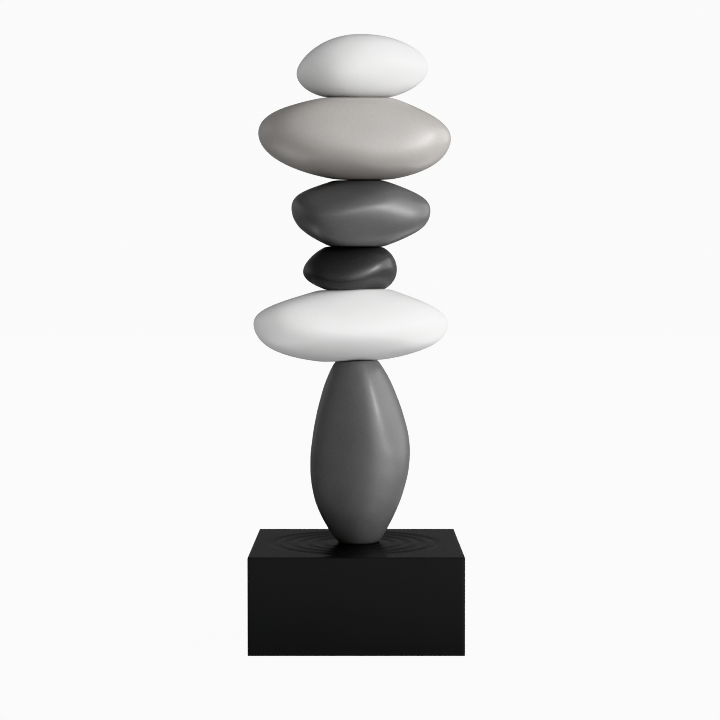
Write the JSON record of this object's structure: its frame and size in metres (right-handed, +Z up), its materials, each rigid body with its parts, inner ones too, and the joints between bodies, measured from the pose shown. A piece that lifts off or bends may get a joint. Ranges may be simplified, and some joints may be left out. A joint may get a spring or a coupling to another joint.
{
  "type": "balanced stone stack",
  "caption": "Decorative cairn of smooth pebbles balanced on each other, standing on a square black plinth with rippled top.",
  "frame": {"origin": "centre of the plinth's underside", "axes": "+Z up along the stack, +X to the right along the plinth's front edge, -Y towards the viewer"},
  "size_m": [0.11, 0.11, 0.32],
  "materials": {
    "black_plinth": "black stone, honed sides and a polished top",
    "grey_stone": "smooth mid grey river stone with a satin sheen",
    "white_stone": "smooth off-white stone with a satin sheen",
    "black_stone": "smooth near-black stone with a satin sheen",
    "dark_grey_stone": "smooth dark grey stone with a satin sheen",
    "beige_stone": "smooth warm grey-beige stone with a satin sheen"
  },
  "bodies": {
    "root": {"plinth": "black_plinth", "tall_grey_stone": "grey_stone", "wide_white_stone": "white_stone", "small_black_stone": "black_stone", "dark_grey_stone": "dark_grey_stone", "wide_beige_stone": "beige_stone", "top_white_stone": "white_stone"}
  },
  "joints": []
}
